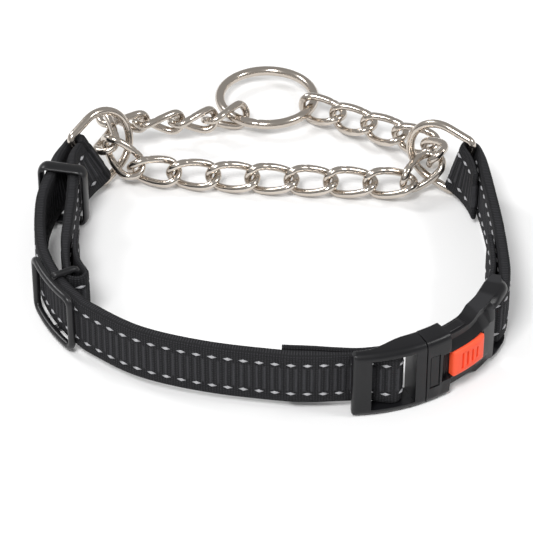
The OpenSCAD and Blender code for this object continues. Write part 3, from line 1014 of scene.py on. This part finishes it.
def makeSocket():
    half, row, panel, track = buckle["half"], socket["row"], socket["panel"], socket["track"]

    def zAt(angle, z):
        # the outer rows keep their distance from the edge, the inner ones stay where they are
        top = socketTop(angle)
        size = min(abs(z), top - (half - abs(z)) * (top / half if abs(z) > row else 1) ** 2)
        size = min(abs(z), max(size, top * 0.8 * abs(z) / row))
        return size if z > 0 else -size

    def fall(angle, z):
        return eased(socketTop(angle) - abs(zAt(angle, z)), socket["edge"])

    def tip(angle):
        return max(0, (angle - socket["tipFrom"]) / socket["tipOver"]) ** 2

    def outer(angle, z):
        return buckle["r"] - 0.85 * fall(angle, z) - 1.6 * tip(angle)

    def inner(angle, z):
        return socket["innerR"] + 0.35 * fall(angle, z) + 1.2 * tip(angle)

    def opened(angle, z):
        return angle > socket["slotFrom"] and abs(z) < buckle["rail"]

    rows = edgeRows((-row, -track["half"], 0, track["half"], row))
    bm = curvedPlate(spread(*socket["stops"], step=1.1), rows, opened, zAt, inner, outer)
    sink(bm, panel["angles"], panel["half"], panel["depth"], 0.02)
    sink(bm, panel["angles"], panel["half"], -panel["raised"], panel["rim"])
    sink(bm, track["angles"], track["half"] + 0.1, track["depth"], track["rim"])
    bm = carved(bm, socket["hollows"])
    finishPiece(bm, "socketShell", buckleBlack, "collar", ["buckle_socket"],
                socket["rounding"])
    bar = bmesh.new()
    addBar(bar, *endBarAt)
    ribs = socket["ribs"]
    for i in range(ribs["count"]):
        # ribs on the floor of the lock's track
        angle = ribs["first"] + ribs["pitch"] * i
        p = buckleAt(ribs["r"], angle)
        rib = Matrix.Translation((p.x, p.y, midZ)) @ Matrix.Rotation(radians(angle), 4, "Z")
        rib = rib @ Matrix.Diagonal((*ribs["size"], 1))
        bmesh.ops.create_cube(bar, size=1, matrix=rib)
    finishPiece(bar, "socketEndBarAndTrack", buckleBlack, "collar",
                rounding=socket["barRounding"])


lock = {
    "from": 37.3, "to": 51.6, "half": 5.3, "top": 60.65, "bottom": 57.85, "edge": 1.3,
    "narrowBy": 0.1, "grooves": ((40.5, 3.4), (42.7, 3.0), (44.9, 2.6), (47.1, 2.2)),
    "grooveWidth": 0.95, "grooveDepth": 0.6, "rounding": {"width": 0.15, "segments": 2},
}


def makeLock():
    start, end, half, edge = lock["from"], lock["to"], lock["half"], lock["edge"]

    def fromEnd(angle):
        return min(angle - start, end - angle)

    def zAt(angle, z):
        return z * (1 - lock["narrowBy"] * max(0, 1 - fromEnd(angle) / edge) ** 2)

    def outer(angle, z):
        return lock["top"] - eased(min(half - abs(z), fromEnd(angle)), edge)

    steps = [0, 0.2, 0.6, edge]
    grooves = [a for g, size in lock["grooves"] for a in (g, g + lock["grooveWidth"])]
    stops = [start + a for a in steps] + grooves + [end - a for a in reversed(steps)]
    # rows at the groove ends, then closer together towards the rounded edge
    upper = (0, 2.2, 2.6, 3.0, 3.4, 4.0, 4.7, 5.1, half)
    rows = [-z for z in reversed(upper[1:])] + list(upper)
    bm = curvedPlate(spread(*stops), rows, nowhere, zAt, lambda a, z: lock["bottom"], outer)
    for g, size in lock["grooves"]:
        sink(bm, (g, g + lock["grooveWidth"]), size, lock["grooveDepth"], 0.1, r=59)
    finishPiece(bm, "lockButton", lockRed, "lock", ["lock_button"],
                lock["rounding"])


makePlug()
makeArm("plugArmUpper", 1, "arm_upper", "plug_arm_upper")
makeArm("plugArmLower", -1, "arm_lower", "plug_arm_lower")
makeSocket()
makeLock()
print("buckle made")


slider = {"halfAngle": 12, "z": 10.2, "corner": 2.6, "outR": sideR + 3.9,
          "legZ": 11.3, "legCorner": 1.8, "barShare": 0.95}
keeper = {"centre": (-71.9, 38, midZ), "turn": 12, "halfW": 7.9, "halfH": 11.3,
          "corner": 2.4, "wall": 1.0, "depth": 2.7}


def roundedLoop(halfW, halfH, corner):
    flat = []
    for cx, cz, start in ((halfW, halfH, 0), (-halfW, halfH, 90), (-halfW, -halfH, 180),
                          (halfW, -halfH, 270)):
        sx, sz = (1 if cx > 0 else -1), (1 if cz > 0 else -1)
        flat += arcPath(cx - sx * corner, cz - sz * corner, corner, start, start + 90, 6)
        nextX, nextZ = {0: (-1, 1), 90: (-1, -1), 180: (1, -1), 270: (1, 1)}[start]
        a = flat[-1]
        b = (nextX * (halfW - (corner if start in (0, 180) else 0)),
             nextZ * (halfH - (corner if start in (90, 270) else 0)))
        flat += straightPath(a[:2], b, a[2:], 10)
    return flat


def makeSlider():
    r, outR = sliderWire / 2, slider["outR"]

    def onStrap(s, z):
        return polar(sideCentre, outR, sliderAngle + s / outR * 180 / pi, midZ + z)

    def outwards(s, nx, nz):
        a = radians(sliderAngle + s / outR * 180 / pi)
        return Vector((-sin(a) * nx, cos(a) * nx, nz))

    halfW = radians(slider["halfAngle"]) * outR - r
    flat = roundedLoop(halfW, slider["z"], slider["corner"])
    path = [(onStrap(s, z), outwards(s, nx, nz)) for s, z, nx, nz in flat]
    bm = sweepWire(path, lambda i: (r, r), 16)
    # two short legs reach in to the hidden bar that the return run is sewn round
    inward, c, leg = outR - sliderInR, slider["legCorner"], slider["legZ"]
    bend = straightPath((0, -leg), (inward - c, -leg), (0, -1), 6)
    bend += arcPath(inward - c, -leg + c, c, 270, 360, 6)
    bend += straightPath((inward, -leg + c), (inward, leg - c), (1, 0), 10)
    bend += arcPath(inward - c, leg - c, c, 0, 90, 6)
    bend += straightPath((inward - c, leg), (0, leg), (0, 1), 6)
    a = radians(sliderAngle)
    bar = [(polar(sideCentre, outR - x, sliderAngle, midZ + z),
            Vector((-cos(a) * nx, -sin(a) * nx, nz))) for x, z, nx, nz in bend]
    barSize = r * slider["barShare"]
    centre = sweepWire(bar, lambda i: (barSize, barSize), 16, closed=False)
    mesh = bpy.data.meshes.new("sliderBar")
    centre.to_mesh(mesh)
    centre.free()
    bm.from_mesh(mesh)
    finishPiece(bm, "sliderWire", wireBlack, "slider_wire", ["slider"])


def makeKeeper():
    flat = roundedLoop(keeper["halfW"], keeper["halfH"], keeper["corner"])
    turn = Matrix.Translation(keeper["centre"]) @ Matrix.Rotation(-radians(keeper["turn"]), 4, "Z")
    path = [(turn @ Vector((x, 0, z)), turn.to_3x3() @ Vector((nx, 0, nz)))
            for x, z, nx, nz in flat]
    bm = sweepWire(path, lambda i: (keeper["wall"], keeper["depth"]), 20)
    finishPiece(bm, "keeperLoop", wireBlack, "keeper_loop", ["keeper"])


makeSlider()
makeKeeper()
print("slider and keeper made")


studio = {
    "target": (0, 0, 10), "distance": 1000, "elevation": 38, "focal": 195.9,
    "floor": (0.93, 0.93, 0.93), "surround": 0.42,
    "lights": {
        "keyLight": {"at": (-0.2, -0.6, 0.85), "size": 0.3, "power": 7.5},
        "fillLight": {"at": (0.8, -0.2, 0.75), "size": 0.25, "power": 3},
        "sideLight": {"at": (-0.75, 0.45, 0.8), "size": 0.3, "power": 4},
    },
}


def makeStudio():
    bm = bmesh.new()
    bmesh.ops.create_grid(bm, x_segments=1, y_segments=1, size=3)
    mesh = bpy.data.meshes.new("floor")
    bm.to_mesh(mesh)
    bm.free()
    floor = bpy.data.objects.new("floor", mesh)
    bpy.context.scene.collection.objects.link(floor)
    material, nodes, links, shader = startMaterial("paleFloor")
    shader.inputs["Base Color"].default_value = (*studio["floor"], 1)
    shader.inputs["Roughness"].default_value = 0.9
    mesh.materials.append(material)

    world = bpy.data.worlds.new("studio")
    world.use_nodes = True
    world.node_tree.nodes["Background"].inputs["Color"].default_value = (1, 1, 1, 1)
    world.node_tree.nodes["Background"].inputs["Strength"].default_value = studio["surround"]
    bpy.context.scene.world = world
    for name, setting in studio["lights"].items():
        light = bpy.data.lights.new(name, "AREA")
        light.size = setting["size"]
        light.energy = setting["power"]
        lamp = bpy.data.objects.new(name, light)
        lamp.location = setting["at"]
        lamp.rotation_euler = (-Vector(setting["at"])).to_track_quat("-Z", "Y").to_euler()
        bpy.context.scene.collection.objects.link(lamp)

    camera = bpy.data.cameras.new("camera")
    camera.lens = studio["focal"]
    camera.sensor_width = 36
    camera.clip_start = 0.05
    eye = bpy.data.objects.new("camera", camera)
    target = toFrame @ Vector(studio["target"])
    tilt = radians(studio["elevation"])
    eye.location = target + studio["distance"] * mm * Vector((0, -cos(tilt), sin(tilt)))
    eye.rotation_euler = (target - eye.location).to_track_quat("-Z", "Y").to_euler()
    bpy.context.scene.collection.objects.link(eye)
    bpy.context.scene.camera = eye
    bpy.context.scene.view_settings.view_transform = "Standard"


makeStudio()
print("studio ready")
